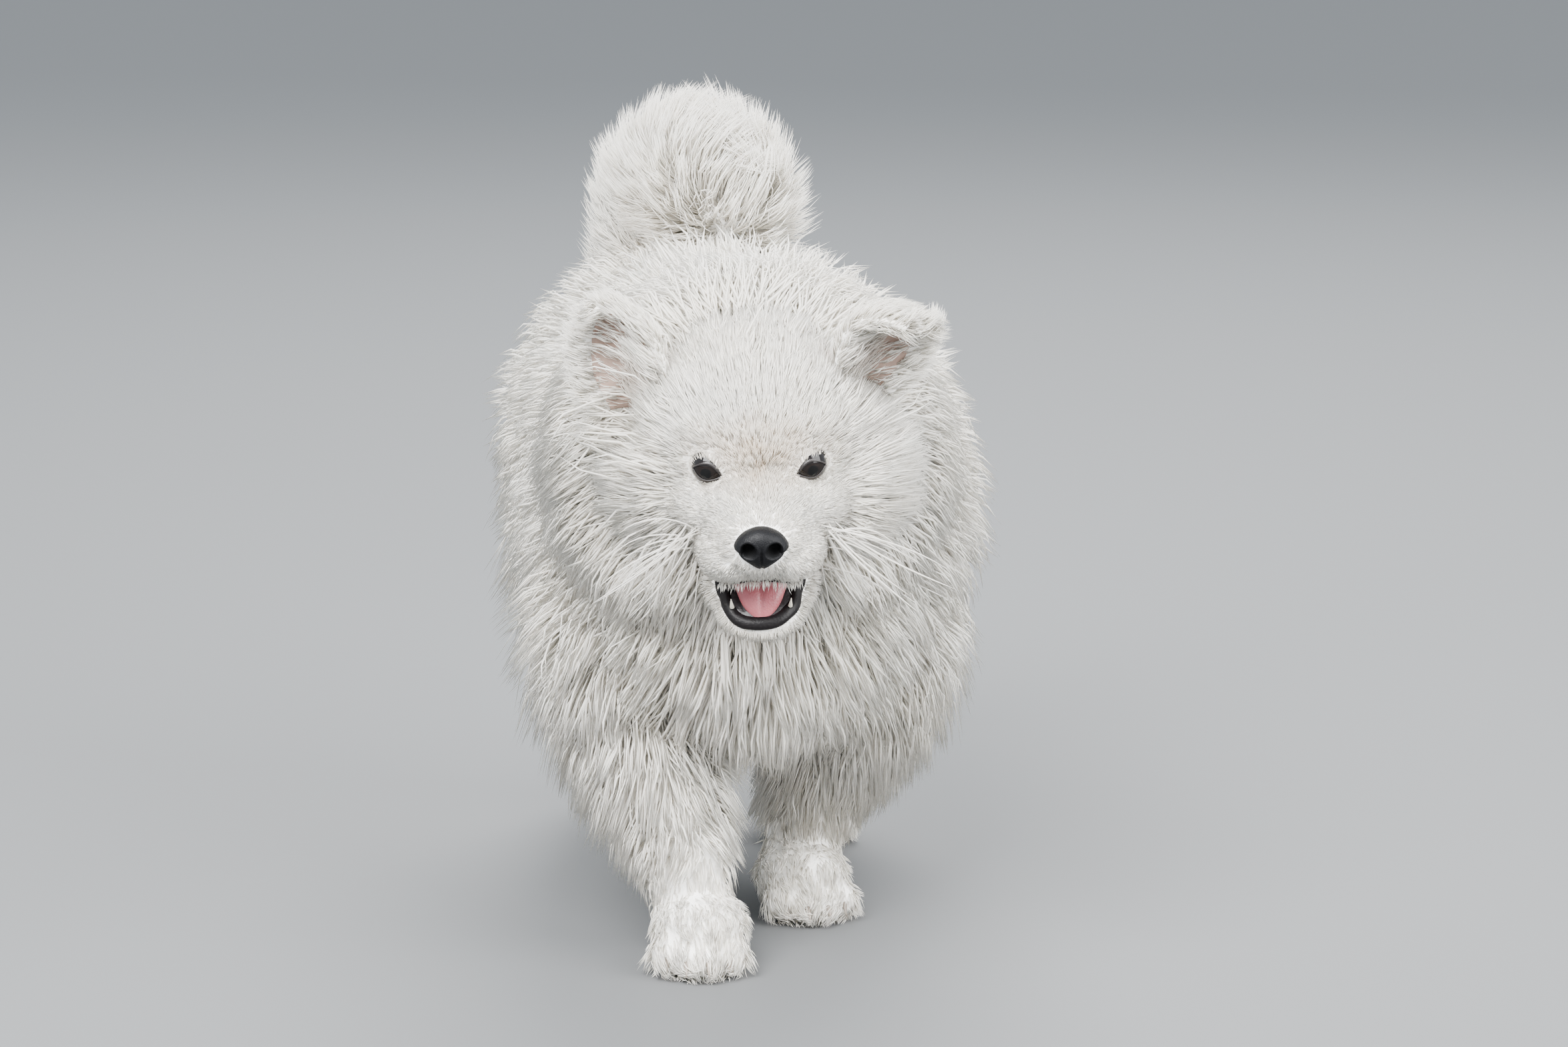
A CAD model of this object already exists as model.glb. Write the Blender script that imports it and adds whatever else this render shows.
import math

import bmesh
import bpy
import numpy as np
from mathutils import Matrix, Vector
from mathutils.bvhtree import BVHTree
from mathutils.kdtree import KDTree


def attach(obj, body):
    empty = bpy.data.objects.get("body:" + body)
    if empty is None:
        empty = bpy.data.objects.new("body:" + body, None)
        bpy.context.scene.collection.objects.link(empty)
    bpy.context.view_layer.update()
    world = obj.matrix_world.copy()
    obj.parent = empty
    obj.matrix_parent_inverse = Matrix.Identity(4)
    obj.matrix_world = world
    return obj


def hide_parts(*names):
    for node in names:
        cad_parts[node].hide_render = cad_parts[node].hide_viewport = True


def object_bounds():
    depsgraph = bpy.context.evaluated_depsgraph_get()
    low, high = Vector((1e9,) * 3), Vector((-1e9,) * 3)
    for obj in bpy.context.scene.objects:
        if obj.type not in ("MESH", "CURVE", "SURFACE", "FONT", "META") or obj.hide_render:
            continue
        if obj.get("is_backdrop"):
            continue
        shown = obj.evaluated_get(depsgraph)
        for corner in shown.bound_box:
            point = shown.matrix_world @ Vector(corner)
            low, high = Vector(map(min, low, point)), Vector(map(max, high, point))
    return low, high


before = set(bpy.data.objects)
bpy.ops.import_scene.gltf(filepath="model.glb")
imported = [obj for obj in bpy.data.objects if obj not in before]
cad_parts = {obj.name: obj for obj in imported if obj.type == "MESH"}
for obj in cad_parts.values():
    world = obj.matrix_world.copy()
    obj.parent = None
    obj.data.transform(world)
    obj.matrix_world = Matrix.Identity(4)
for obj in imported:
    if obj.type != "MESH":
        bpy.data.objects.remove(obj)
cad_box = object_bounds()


# The room: a wide pale floor, soft light from a large panel high in front, a weaker one at the
# other side and one behind, and a camera far off that looks down a little, as in the photograph.
# The camera is set from the middle between the eyes, so the head's place stands here too.
SIDES = {"right": -1, "left": 1}
HEAD_PLACE = Vector((-0.0146, -0.1624, 0.2365))
HEAD_PITCH, HEAD_YAW, HEAD_ROLL = 18.0, 6.2, -0.8  # degrees: nose down, nose to its right, tilt
EYE_OUT, EYE_AHEAD = 0.0203, 0.0298
EYE_UP = {"right": 0.0053, "left": 0.0059}
CAMERA_BEARING, CAMERA_DIP = 7.8, 10.53  # degrees off the way ahead, and below the level
CAMERA_AWAY, CAMERA_ASIDE, CAMERA_HEIGHT = 1.90, 0.0105, 0.56
FLOOR_SIDE, FLOOR_COLOUR = 12.0, (0.11, 0.113, 0.115, 1)
LIT_SPOT = Vector((0, 0, 0.15))
SKY_COLOUR, SKY_STRENGTH = (0.86, 0.93, 1.0, 1), 1.60


def head_matrix():
    """Carries the head's own axes (x to its left, f along the muzzle, u up) to the room's."""
    turn = Matrix.Rotation(math.radians(-HEAD_YAW), 3, "Z")
    turn = turn @ Matrix.Rotation(math.radians(HEAD_PITCH), 3, "X")
    turn = turn @ Matrix.Rotation(math.radians(HEAD_ROLL), 3, "Y")
    axes = Matrix(((1, 0, 0), (0, -1, 0), (0, 0, 1)))
    return Matrix.Translation(HEAD_PLACE) @ (turn @ axes).to_4x4()


HEAD = head_matrix()
EYE_MIDDLE = {
    side: HEAD @ Vector((sign * EYE_OUT, EYE_AHEAD, EYE_UP[side])) for side, sign in SIDES.items()
}

camera_data = bpy.data.cameras.new("camera")
camera = bpy.data.objects.new("camera", camera_data)
bpy.context.scene.collection.objects.link(camera)
bpy.context.scene.camera = camera
camera_data.lens = 105.0
camera_data.sensor_width = 36.0
camera_data.dof.use_dof = False
bearing = math.radians(CAMERA_BEARING)
ahead = Vector((math.sin(bearing), math.cos(bearing), 0))
aside = Vector((math.cos(bearing), -math.sin(bearing), 0))
between_eyes = (EYE_MIDDLE["right"] + EYE_MIDDLE["left"]) / 2
camera.location = between_eyes - ahead * CAMERA_AWAY + aside * CAMERA_ASIDE
camera.location.z = CAMERA_HEIGHT
camera.rotation_euler = (math.radians(90 - CAMERA_DIP), 0, -bearing)

bpy.ops.object.select_all(action="DESELECT")
bpy.ops.mesh.primitive_plane_add(size=FLOOR_SIDE, location=(0, FLOOR_SIDE / 4, 0))
floor = bpy.context.object
floor.name = "floor"
floor_paint = bpy.data.materials.new("floor_paint")
floor_paint.use_nodes = True
floor_shader = floor_paint.node_tree.nodes["Principled BSDF"]
floor_shader.inputs["Base Color"].default_value = FLOOR_COLOUR
floor_shader.inputs["Roughness"].default_value = 0.7
floor.data.materials.append(floor_paint)
floor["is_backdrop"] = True

for name, place, size, power in (
    ("key_panel", (-1.2, -1.7, 2.3), 2.0, 370),
    ("fill_panel", (1.9, -1.7, 1.5), 2.4, 215),
    ("back_panel", (0.6, 2.0, 2.2), 1.8, 150),
):
    panel_data = bpy.data.lights.new(name, "AREA")
    panel_data.energy = power
    panel_data.size = size
    panel = bpy.data.objects.new(name, panel_data)
    panel.location = place
    panel.rotation_euler = (LIT_SPOT - Vector(place)).to_track_quat("-Z", "Y").to_euler()
    bpy.context.scene.collection.objects.link(panel)

world = bpy.data.worlds.new("soft_sky")
world.use_nodes = True
sky = world.node_tree.nodes["Background"]
sky.inputs["Color"].default_value = SKY_COLOUR
sky.inputs["Strength"].default_value = SKY_STRENGTH
bpy.context.scene.world = world


# The flesh: one seamless skin over trunk, neck, tail, legs, head, ears and lower jaw, filled out
# by the woolly undercoat. Balls are set along each limb and over the skull, joined, blended and
# smoothed, and the mouth and the eye sockets are cut out of them.
BODY_PLACE = np.array((-0.0146, -0.0144, 0.0))
# x, y, z, half width and half height, from the chest to the rump.
TRUNK = (
    (0.004, -0.100, 0.174, 0.042, 0.050),
    (0.008, -0.078, 0.180, 0.060, 0.068),
    (0.012, -0.045, 0.186, 0.073, 0.080),
    (0.014, 0.000, 0.188, 0.077, 0.080),
    (0.013, 0.050, 0.191, 0.074, 0.076),
    (0.010, 0.095, 0.196, 0.071, 0.070),
    (0.005, 0.135, 0.202, 0.064, 0.060),
    (0.002, 0.160, 0.206, 0.048, 0.046),
)
# x, y, z and radius, from the shoulders to the head.
NECK = (
    (0.012, -0.016, 0.204, 0.048),
    (0.009, -0.048, 0.212, 0.057),
    (0.004, -0.080, 0.218, 0.058),
    (0.000, -0.106, 0.222, 0.050),
    (0.000, -0.126, 0.226, 0.034),
)
# x, y, z and radius, from the rump to the tip.
TAIL = (
    (0.000, 0.148, 0.240, 0.017),
    (0.000, 0.180, 0.260, 0.016),
    (0.001, 0.200, 0.282, 0.015),
    (0.004, 0.198, 0.303, 0.014),
    (0.009, 0.174, 0.315, 0.013),
    (0.016, 0.145, 0.315, 0.012),
    (0.022, 0.120, 0.304, 0.010),
)
# Each leg's x, y, z and radius from the top down, then its paw's x, y and heading in degrees.
LEGS = {
    "foreleg_right": (
        (
            (-0.032, -0.060, 0.178, 0.028),
            (-0.046, -0.064, 0.140, 0.028),
            (-0.044, -0.070, 0.105, 0.022),
            (-0.036, -0.088, 0.070, 0.0175),
            (-0.028, -0.104, 0.042, 0.016),
            (-0.025, -0.110, 0.026, 0.0165),
        ),
        (-0.023, -0.124, -8.0),
    ),
    "foreleg_left": (
        (
            (0.042, -0.058, 0.178, 0.028),
            (0.060, -0.052, 0.140, 0.028),
            (0.060, -0.042, 0.105, 0.022),
            (0.049, -0.028, 0.070, 0.0175),
            (0.039, -0.020, 0.042, 0.016),
            (0.036, -0.026, 0.026, 0.0165),
        ),
        (0.034, -0.041, 6.0),
    ),
    "hindleg_left": (
        (
            (0.040, 0.108, 0.190, 0.038),
            (0.060, 0.088, 0.150, 0.034),
            (0.062, 0.084, 0.115, 0.026),
            (0.060, 0.110, 0.082, 0.0175),
            (0.057, 0.126, 0.058, 0.0150),
            (0.056, 0.118, 0.032, 0.0150),
        ),
        (0.055, 0.100, 5.0),
    ),
    "hindleg_right": (
        (
            (-0.026, 0.110, 0.190, 0.038),
            (-0.034, 0.104, 0.150, 0.034),
            (-0.033, 0.112, 0.115, 0.026),
            (-0.027, 0.146, 0.084, 0.0175),
            (-0.021, 0.166, 0.062, 0.0150),
            (-0.018, 0.160, 0.034, 0.0150),
        ),
        (-0.016, 0.143, -2.0),
    ),
}
PAW_HALF, PAW_HEIGHT, ANKLE_HEIGHT = (0.0200, 0.0265, 0.0160), 0.0165, 0.04
# Each toe's share of the way to the paw's side, and how far ahead of its middle it stands.
TOE_SPREADS = ((-1.0, 0.0165), (-0.36, 0.0225), (0.36, 0.0225), (1.0, 0.0165))
TOE_HALF, TOE_SIDE, TOE_DROP = (0.0076, 0.0105, 0.0088), 0.0135, 0.0080
TRUNK_SLICES, SLICE_HALF_LENGTH, LEG_BALLS = 15, 0.036, 16
# How far the undercoat fills out each region.
FLUFF = {"trunk": 0.012, "neck": 0.012, "tail": 0.005, "leg": 0.005, "paw": 0.0}
FULL_FLUFF_HEIGHT = 0.08
SKIN_GRAIN = 0.0024


def smooth_curve(points, count):
    """count rows along a smooth curve through rows of numbers."""
    rows = np.array(points, float)
    padded = np.vstack([2 * rows[0] - rows[1], rows, 2 * rows[-1] - rows[-2]])
    found = []
    for t in np.linspace(0, len(rows) - 1, count):
        i = min(int(t), len(rows) - 2)
        s = t - i
        a, b, c, d = padded[i : i + 4]
        found.append(
            0.5 * (2 * b + (c - a) * s + (2 * a - 5 * b + 4 * c - d) * s * s)
            + 0.5 * (3 * b - a - 3 * c + d) * s**3
        )
    return np.array(found)


flesh_balls = []
regions = []


def ball(region, place, half, turn=None, segments=24, rings=16):
    """One ball of flesh: a sphere of these half sizes, turned and set in its place."""
    bpy.ops.object.select_all(action="DESELECT")
    bpy.ops.mesh.primitive_uv_sphere_add(segments=segments, ring_count=rings, radius=1.0)
    made = bpy.context.object
    made.data.transform(
        Matrix.Translation(place) @ (turn or Matrix()).to_4x4() @ Matrix.Diagonal((*half, 1.0))
    )
    flesh_balls.append(made)
    regions.append((region, np.array(place), np.array((turn or Matrix()).to_3x3()), np.array(half)))
    return made


for x, y, z, half_width, half_height in smooth_curve(TRUNK, TRUNK_SLICES):
    half = (half_width + FLUFF["trunk"], SLICE_HALF_LENGTH, half_height + FLUFF["trunk"])
    ball("trunk", Vector(BODY_PLACE) + Vector((x, y, z)), half, segments=32)
for region, chain, count in (("neck", NECK, 8), ("tail", TAIL, 18)):
    for x, y, z, radius in smooth_curve(chain, count):
        ball(region, Vector(BODY_PLACE) + Vector((x, y, z)), (radius + FLUFF[region],) * 3)
toe_places = []
for bones, (paw_x, paw_y, heading) in LEGS.values():
    for x, y, z, radius in smooth_curve(bones, LEG_BALLS):
        region = "leg" if z > ANKLE_HEIGHT else "paw"
        full = radius + FLUFF[region] * min(1, z / FULL_FLUFF_HEIGHT)
        ball(region, Vector(BODY_PLACE) + Vector((x, y, z)), (full,) * 3)
    turn = Matrix.Rotation(math.radians(heading), 3, "Z")
    paw = Vector(BODY_PLACE) + Vector((paw_x, paw_y, PAW_HEIGHT))
    ball("paw", paw, PAW_HALF, turn)
    for spread, reach in TOE_SPREADS:
        toe = paw + turn @ Vector((spread * TOE_SIDE, -reach, -TOE_DROP))
        ball("paw", toe, TOE_HALF, turn, 16, 10)
        toe_places.append((toe, heading))

HEAD_TURN = HEAD.to_3x3()
# Middle and half size of each form, in the head's own axes. Those off the middle come in pairs.
HEAD_FORMS = {
    "skull": ((0, -0.004, 0.006), (0.045, 0.045, 0.037)),
    "nape": ((0, -0.026, 0.000), (0.037, 0.031, 0.033)),
    "cheek": ((0.029, 0.000, -0.016), (0.026, 0.029, 0.027)),
    "throat": ((0, -0.006, -0.030), (0.032, 0.026, 0.018)),
    "brow": ((0.0165, 0.022, 0.0175), (0.0150, 0.0120, 0.0100)),
    "under_eye": ((0.0185, 0.0265, -0.013), (0.0170, 0.0180, 0.0140)),
    "muzzle": ((0, 0.034, -0.014), (0.0255, 0.0240, 0.0205)),
    "muzzle_end": ((0, 0.050, -0.0195), (0.0200, 0.0175, 0.0165)),
    "upper_lip": ((0.0125, 0.045, -0.0265), (0.0145, 0.0195, 0.0120)),
}
for middle, half in HEAD_FORMS.values():
    for sign in (1, -1) if middle[0] else (1,):
        ball("head", HEAD @ Vector((middle[0] * sign, middle[1], middle[2])), half, HEAD_TURN)

JAW_HINGE, JAW_DROP = (0, 0.004, -0.0335), 31.0
JAW = HEAD @ Matrix.Translation(JAW_HINGE) @ Matrix.Rotation(math.radians(-JAW_DROP), 4, "X")
JAW_FORMS = {
    "root": ((0, 0.014, -0.004), (0.0250, 0.0200, 0.0095)),
    "middle": ((0, 0.032, -0.003), (0.0230, 0.0200, 0.0080)),
    "chin": ((0, 0.046, -0.001), (0.0185, 0.0130, 0.0070)),
}
for middle, half in JAW_FORMS.values():
    ball("head", JAW @ Vector(middle), half, JAW.to_3x3())

EAR_HEIGHT, EAR_HALF_WIDTH, EAR_WALL = 0.052, 0.0220, 0.0046
EAR_CUP, EAR_FACES_OUT, FOLD_START, EAR_REACH = 0.0125, 28, 0.5, 0.006
# Each ear's side, fold of its tip in degrees, root on the head, and how far it leans out and back.
EARS = {
    "right": (-1, 12.0, (-0.0565, -0.004, 0.011), 10.0, 12.0),
    "left": (1, 104.0, (0.0470, -0.004, 0.021), 20.0, 4.0),
}
# Shares of the ear's height with its half width there.
EAR_OUTLINE = ((0.0, 0.60), (0.15, 0.80), (0.35, 1.0), (0.55, 0.98), (0.75, 0.82), (0.9, 0.55), (1.0, 0.16))


def ear_frame(sign, root, lean, tip_back):
    """Carries an ear's own axes, across, forward and up from its root, to its place on the head."""
    place = HEAD @ Matrix.Translation(root)
    place = place @ Matrix.Rotation(math.radians(sign * lean), 4, "Y")
    place = place @ Matrix.Rotation(math.radians(-sign * EAR_FACES_OUT), 4, "Z")
    return place @ Matrix.Rotation(math.radians(tip_back), 4, "X")


def ear_surface(v, s, fold):
    """A point of the cupped ear, v from root to tip and s from edge to edge."""
    half = EAR_HALF_WIDTH * np.interp(v, *zip(*EAR_OUTLINE))
    forward, up = 0.0, v * EAR_HEIGHT
    past_fold = max(0.0, v - FOLD_START) / (1 - FOLD_START)
    if past_fold and fold > 20:
        turn = math.radians(fold) * past_fold
        radius = (1 - FOLD_START) * EAR_HEIGHT / math.radians(fold)
        forward = radius * (1 - math.cos(turn))
        up = FOLD_START * EAR_HEIGHT + radius * math.sin(turn)
    elif past_fold:
        forward = 0.006 * past_fold**2
    cup = EAR_CUP * (1 - s * s) * (1 - 0.55 * v)
    return Vector((s * half, forward - cup, up - 0.002 * s * s))


for sign, fold, root, lean, tip_back in EARS.values():
    bpy.ops.object.select_all(action="DESELECT")
    bpy.ops.mesh.primitive_grid_add(x_subdivisions=16, y_subdivisions=24, size=2.0)
    ear = bpy.context.object
    place = ear_frame(sign, root, lean, tip_back)
    for vert in ear.data.vertices:
        vert.co = place @ ear_surface((vert.co.y + 1) / 2, vert.co.x, fold)
    wall = ear.modifiers.new("wall", "SOLIDIFY")
    wall.thickness = EAR_WALL
    wall.offset = 0.0
    wall.use_even_offset = False
    bpy.ops.object.modifier_apply(modifier="wall")
    flesh_balls.append(ear)
    for v in np.linspace(0.1, 1.0, 8):
        for s in (-0.6, 0.0, 0.6):
            spot = place @ ear_surface(v, s, fold)
            regions.append(("ear", np.array(spot), np.eye(3), np.full(3, EAR_REACH)))

bpy.ops.object.select_all(action="DESELECT")
for each in flesh_balls:
    each.select_set(True)
bpy.context.view_layer.objects.active = flesh_balls[0]
bpy.ops.object.join()
skin = bpy.context.object
skin.name = "skin"
blend = skin.modifiers.new("blend", "REMESH")
blend.mode = "VOXEL"
blend.voxel_size = SKIN_GRAIN
bpy.ops.object.modifier_apply(modifier="blend")

# The mouth is cut out between palate and tongue, and the sockets behind the lids.
MOUTH = JAW @ Vector((0, 0.0290, 0.0125))
MOUTH_HALF = (0.0228, 0.0325, 0.0138)
EYE_RADIUS, SOCKET_RADIUS, OPENING_HALF = 0.0085, 0.0087, (0.0080, 0.0100, 0.0062)
OPENING_AHEAD, EYE_TURN_OUT = 0.0090, 16
EYE_TURN = {}
whole = BVHTree.FromPolygons([v.co for v in skin.data.vertices], [f.vertices for f in skin.data.polygons])
cutters = [ball("mouth", MOUTH, MOUTH_HALF, JAW.to_3x3(), 48, 32)]
for side, sign in SIDES.items():
    EYE_TURN[side] = HEAD_TURN @ Matrix.Rotation(math.radians(-sign * EYE_TURN_OUT), 3, "Z")
    cutters.append(ball("socket", EYE_MIDDLE[side], (SOCKET_RADIUS,) * 3))
    opening = EYE_MIDDLE[side] + EYE_TURN[side] @ Vector((0, OPENING_AHEAD, 0))
    cutters.append(ball("socket", opening, OPENING_HALF, EYE_TURN[side]))
regions = [row for row in regions if row[0] not in ("mouth", "socket")]
for cutter in cutters:
    cut = skin.modifiers.new("cut", "BOOLEAN")
    cut.operation = "DIFFERENCE"
    cut.object = cutter
    bpy.ops.object.select_all(action="DESELECT")
    skin.select_set(True)
    bpy.context.view_layer.objects.active = skin
    bpy.ops.object.modifier_apply(modifier="cut")
for cutter in cutters:
    bpy.data.objects.remove(cutter, do_unlink=True)


def put_in_order(mesh):
    """Sorts a mesh's points and faces by place, since a cut leaves them in another order each run."""
    spots = np.array([vert.co for vert in mesh.vertices])
    order = np.lexsort(spots.T)
    rank = np.argsort(order)
    faces = []
    for face in mesh.polygons:
        corner_ranks = [int(rank[k]) for k in face.vertices]
        first = corner_ranks.index(min(corner_ranks))
        faces.append(corner_ranks[first:] + corner_ranks[:first])
    mesh.clear_geometry()
    mesh.from_pydata(spots[order].tolist(), [], sorted(faces))


put_in_order(skin.data)


def mouth_reach(places):
    """1 on the wall of the mouth's hollow, more outside it."""
    in_jaw = (places - np.array(MOUTH)) @ np.array(JAW.to_3x3())
    return np.linalg.norm(in_jaw / np.array(MOUTH_HALF), axis=1)


relax = skin.modifiers.new("relax", "SMOOTH")
relax.factor = 0.5
relax.iterations = 3
bpy.ops.object.modifier_apply(modifier="relax")
skin.data.shade_smooth()
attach(skin, "root")
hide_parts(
    "head", "neck", "torso", "tail", "jaw", "ear_right", "ear_left",
    "foreleg_right", "foreleg_left", "hindleg_right", "hindleg_left",
)


# The coat: white hair as tens of thousands of fine flattened tufts of solid mesh, rooted on the
# skin. They are long and waved on ruff, chest and body, a standing fan on the tail, and short and
# flat on face and feet. Each tuft is painted at its root's place on the skin's own unwrap.
UNWRAP_ANGLE, UNWRAP_GAP = math.radians(66), 0.002
bpy.ops.object.select_all(action="DESELECT")
skin.select_set(True)
bpy.context.view_layer.objects.active = skin
bpy.ops.object.mode_set(mode="EDIT")
bpy.ops.mesh.select_all(action="SELECT")
bpy.ops.uv.smart_project(angle_limit=UNWRAP_ANGLE, island_margin=UNWRAP_GAP)
bpy.ops.object.mode_set(mode="OBJECT")
skin.data.uv_layers[0].name = "OFBake"

NOSE_TIP = np.array(HEAD @ Vector((0, 0.068, -0.0150)))
HEAD_INVERSE = np.array(HEAD.inverted())
chance = np.random.default_rng(7)


def unit(rows):
    return rows / np.maximum(np.linalg.norm(rows, axis=1, keepdims=True), 1e-9)


def read(collection, key, width, kind=np.float64):
    """One property of every element of a mesh, as rows."""
    rows = np.empty(len(collection) * width, kind)
    collection.foreach_get(key, rows)
    return rows.reshape(-1, width) if width > 1 else rows


skin.data.calc_loop_triangles()
corners = read(skin.data.loop_triangles, "vertices", 3, np.int32)
corner_loops = read(skin.data.loop_triangles, "loops", 3, np.int32)
points = read(skin.data.vertices, "co", 3)
point_normals = read(skin.data.vertices, "normal", 3)
skin_uv = read(skin.data.uv_layers["OFBake"].data, "uv", 2)
patch_middle = points[corners].mean(axis=1)
first_side = points[corners[:, 1]] - points[corners[:, 0]]
second_side = points[corners[:, 2]] - points[corners[:, 0]]
patch_area = 0.5 * np.linalg.norm(np.cross(first_side, second_side), axis=1)


REGION_BLEND = 0.004


def region_shares(places):
    """How far each place belongs to each region of the body, from the balls that lie near it."""
    shares = {}
    for region, middle, turn, half in regions:
        reach = np.linalg.norm(((places - middle) @ turn) / half, axis=1) - 1
        weight = np.exp(-np.maximum(reach, 0) * half.min() / REGION_BLEND)
        shares[region] = np.maximum(shares.get(region, 0), weight)
    total = sum(shares.values()) + 1e-12
    return {region: share / total for region, share in shares.items()}


patch_home = skin_uv[corner_loops].mean(axis=1)
patch_tree = KDTree(len(patch_middle))
for i, place in enumerate(patch_middle):
    patch_tree.insert(place, i)
patch_tree.balance()


def home_of(places):
    """Where the skin nearest to each place lies on its unwrap."""
    return patch_home[[patch_tree.find(place)[1] for place in places]]


def in_head(places):
    return places @ HEAD_INVERSE[:3, :3].T + HEAD_INVERSE[:3, 3]


# Each region's tufts: how many, their steps, length, rise in degrees, width, fall and wave.
# Head and leg have their own lengths along them, so theirs here is only a middle value.
TUFTS = {
    "head": (36000, 2, 0.020, 21, 0.0009, 0.12, 0.02),
    "ear": (8000, 2, 0.011, 18, 0.0009, 0.0, 0.02),
    "neck": (22000, 3, 0.046, 34, 0.0011, 0.42, 0.09),
    "trunk": (21000, 3, 0.042, 30, 0.0013, 0.32, 0.06),
    "tail": (9500, 3, 0.036, 46, 0.0010, 0.03, 0.05),
    "leg": (15000, 2, 0.028, 30, 0.0010, 0.25, 0.03),
    "paw": (8000, 2, 0.012, 20, 0.0010, 0.0, 0.02),
}
ORDER = list(TUFTS)
patch_shares = region_shares(patch_middle)
tail_rows = smooth_curve(TAIL, 40)[:, :3] + BODY_PLACE
TAIL_ROOT = np.array((0.008, 0.150, 0.255)) + BODY_PLACE


def lie_way(places, normals, shares):
    """The way the hair points at each place: back from the nose, down the chest and legs."""
    from_nose = unit(places - NOSE_TIP)
    down_tail = unit(np.gradient(tail_rows, axis=0))
    nearest = np.argmin(np.linalg.norm(places[:, None] - tail_rows[None, ::3], axis=2), axis=1) * 3
    ways = {
        "head": from_nose + np.array((0, 0, -0.1)),
        "ear": unit(places - np.array(HEAD @ Vector((0, -0.004, 0.0)))),
        "neck": from_nose * 0.9 + np.array((0.0, 0.10, -0.75)),
        "trunk": np.tile((0.0, 1.0, -0.50), (len(places), 1)),
        "tail": down_tail[nearest] * 0.35 + unit(places - TAIL_ROOT) + np.array((0, 0, 0.35)),
        "leg": np.tile((0.0, 0.25, -1.0), (len(places), 1)),
        "paw": np.tile((0.0, -1.0, -0.35), (len(places), 1)),
    }
    way = sum(ways[region] * shares.get(region, np.zeros(len(places)))[:, None] for region in ORDER)
    way -= normals * np.sum(way * normals, axis=1)[:, None]
    return unit(way)


# How tufts vary, as shares, degrees and slopes, and how deep they are rooted, in metres.
LENGTH_SPREAD, WIDTH_SPREAD, CLUMP_PULL = (0.75, 1.15), (0.7, 1.3), (0.35, 0.85)
RISE_SPREAD, SWERVE_SPREAD, ROLL_SPREAD = 5, 0.16, 0.5
ROOT_SHARE, ROOT_SHALLOW, ROOT_DEEP = 0.03, 0.0002, 0.0008
# A tuft is narrower at its root, widest a third of the way along, and ends in a point.
WIDTH_STOPS, WIDTH_SHARES = (0, 0.35, 0.75, 1.0), (0.75, 1.0, 0.70, 0.0)
FLOOR_GAP, PATCH_SIDE = 0.0006, 0.003


def shape_tufts(root, normal, lie, home, lengths, steps, rise, width, fall, wave, clump=16):
    """Tufts from their roots: points, the faces of one tuft, steps along it, unwrap and tone."""
    count = len(root)
    across = np.cross(normal, lie)
    spread = lengths * chance.uniform(*LENGTH_SPREAD, count)
    rises = rise + chance.normal(0, RISE_SPREAD, count)
    rises = np.radians(rises * np.clip(lengths / 0.016, 0.85, 1.0))
    swerve = chance.normal(0, SWERVE_SPREAD, count)
    phase = chance.uniform(0, 2 * math.pi, count)
    path = [root - normal * np.clip(lengths * ROOT_SHARE, ROOT_SHALLOW, ROOT_DEEP)[:, None]]
    stops = np.linspace(0, 1, steps + 1)
    for k in range(steps):
        share = (stops[k] + stops[k + 1]) / 2
        angle = rises * (1.55 - 1.25 * share)
        way = normal * np.sin(angle)[:, None] + lie * np.cos(angle)[:, None]
        way += across * (swerve + wave * 3 * np.sin(phase + 5.5 * share))[:, None]
        way[:, 2] -= fall * share * 1.2
        path.append(path[-1] + unit(way) * (spread / steps)[:, None])
    path = np.array(path)

    if clump:
        heads = chance.choice(count, max(count // clump, 1), replace=False)
        tree = KDTree(len(heads))
        for i, j in enumerate(heads):
            tree.insert(root[j], i)
        tree.balance()
        leader = heads[[tree.find(place)[1] for place in root]]
        pull = chance.uniform(*CLUMP_PULL, count)[:, None]
        for k in range(1, steps + 1):
            path[k] += (path[k][leader] - path[k]) * pull * stops[k] ** 1.5 * 0.85
    path[..., 2] = np.maximum(path[..., 2], FLOOR_GAP)

    profile = np.interp(stops, WIDTH_STOPS, WIDTH_SHARES)
    widths = width * chance.uniform(*WIDTH_SPREAD, count) * np.clip(lengths / 0.018, 0.45, 1.0)
    roll = chance.normal(0, ROLL_SPREAD, count)
    rings = []
    for k in range(steps):
        ahead_way = unit(path[k + 1] - path[k])
        side = unit(np.cross(ahead_way, normal + across * roll[:, None]))
        up = np.cross(side, ahead_way)
        half = (widths * profile[k] / 2)[:, None]
        rings += [path[k] - side * half, path[k] + side * half, path[k] + up * half * 0.9]
    verts = np.concatenate([np.stack(rings, axis=1), path[steps][:, None]], axis=1)

    pattern = [(0, 2, 1)]
    for k in range(steps - 1):
        for a, b in ((0, 1), (1, 2), (2, 0)):
            low, high = 3 * k, 3 * k + 3
            pattern += [(low + a, low + b, high + b), (low + a, high + b, high + a)]
    last = 3 * (steps - 1)
    pattern += [(last + a, last + b, last + 3) for a, b in ((0, 1), (1, 2), (2, 0))]
    along = np.append(np.repeat(stops[:steps], 3), 1.0)
    shift_u = np.append(np.tile((-0.4, 0.0, 0.4), steps), 0.0) * PATCH_SIDE
    patch = np.stack([shift_u, (along - 0.5) * PATCH_SIDE], axis=1)
    return verts, np.array(pattern), along, home[:, None] + patch[None], chance.uniform(0, 1, count)


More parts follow.
